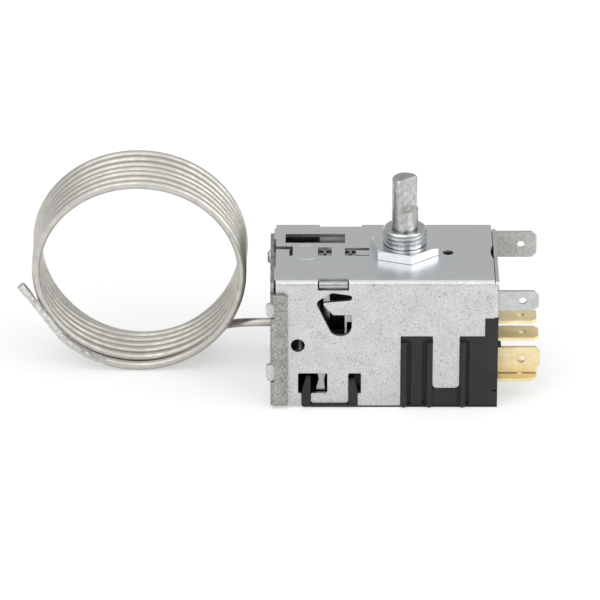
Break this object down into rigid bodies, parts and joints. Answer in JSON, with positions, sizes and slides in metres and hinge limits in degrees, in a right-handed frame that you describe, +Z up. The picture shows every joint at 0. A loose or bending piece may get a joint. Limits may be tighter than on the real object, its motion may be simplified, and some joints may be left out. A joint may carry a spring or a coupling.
{
  "type": "capillary temperature control",
  "caption": "Capillary temperature control: folded steel housing, black switch base, flatted spindle in a threaded bushing, blade terminals and a coiled sensing tube.",
  "frame": {"origin": "the point of the base plane that lies on the spindle's axis", "axes": "+X to the blade terminals, away from the coil; +Y from the front panel to the back; +Z up along the spindle"},
  "size_m": [0.1186, 0.0366, 0.0497],
  "materials": {
    "galvanised_sheet": "zinc-plated sheet, satin",
    "end_steel": "zinc-plated sheet, matt",
    "black_plastic": "moulded, fine matt texture",
    "brass": "stamped, satin",
    "tinned_blade": "tinned, satin",
    "plated_steel": "turned and nickel-plated",
    "spring_steel": "rolled, satin",
    "white_plastic": "moulded, natural",
    "silver_contact": "silver alloy",
    "bellows_brass": "drawn",
    "capillary_metal": "drawn tube, satin"
  },
  "bodies": {
    "case": {"housing": "galvanised_sheet", "end_plate": "end_steel", "switch_base": "black_plastic", "switch_cover": "black_plastic", "upper_terminal": "brass", "middle_terminal": "brass", "lower_terminal": "brass", "upright_terminal": "brass", "backing_terminal": "brass", "earth_tab": "tinned_blade", "bushing": "plated_steel", "mounting_nut": "plated_steel", "spindle_washer": "plated_steel", "inner_frame": "spring_steel", "frame_rivet": "plated_steel", "calibration_screw": "plated_steel", "bellows_cup": "end_steel", "bellows": "bellows_brass", "lever_pin": "plated_steel", "pivot_bracket": "spring_steel", "range_spring": "spring_steel", "fixed_contact": "silver_contact", "snap_spring": "spring_steel", "capillary_lead": "capillary_metal", "capillary_coil": "capillary_metal", "capillary_tip": "capillary_metal"},
    "spindle": {"spindle": "plated_steel", "cam": "spring_steel"},
    "slide": {"range_slide": "spring_steel"},
    "lever": {"main_lever": "spring_steel"},
    "pad": {"thrust_pad": "black_plastic"},
    "pushrod": {"actuator": "white_plastic"},
    "arm": {"contact_arm": "spring_steel", "moving_contact": "silver_contact"}
  },
  "joints": [
    {"name": "spindle_turn", "type": "hinge", "parent": "case", "child": "spindle", "pos_m": [0, 0, 0.03], "axis": [0, 0, 1], "range_deg": [-140, 140]},
    {"name": "range_slide_travel", "type": "slide", "parent": "case", "child": "slide", "axis": [1, 0, 0], "range_m": [-0.00081, 0.00081], "deforming": ["range_spring"]},
    {"name": "main_lever_tilt", "type": "hinge", "parent": "case", "child": "lever", "pos_m": [-0.0066, 0, 0.0054], "axis": [0, 1, 0], "range_deg": [-2, 2], "stiffness_Nm_per_rad": 0.7, "deforming": ["bellows", "range_spring"]},
    {"name": "thrust_pad_slide", "type": "slide", "parent": "case", "child": "pad", "axis": [1, 0, 0], "range_m": [-0.00023, 0.00023]},
    {"name": "actuator_slide", "type": "slide", "parent": "case", "child": "pushrod", "axis": [1, 0, 0], "range_m": [-0.00031, 0.00031]},
    {"name": "contact_arm_swing", "type": "hinge", "parent": "case", "child": "arm", "pos_m": [0.0035, -0.01045, 0.00527], "axis": [0, 1, 0], "range_deg": [-3.1, 3.1], "deforming": ["snap_spring"]}
  ],
  "couplings": [
    {"joint": "range_slide_travel", "follows": "spindle_turn", "m_per_rad": 0.0003274},
    {"joint": "thrust_pad_slide", "follows": "main_lever_tilt", "m_per_rad": 0.00635},
    {"joint": "actuator_slide", "follows": "main_lever_tilt", "m_per_rad": 0.0086},
    {"joint": "contact_arm_swing", "follows": "main_lever_tilt", "ratio": 1.5}
  ]
}
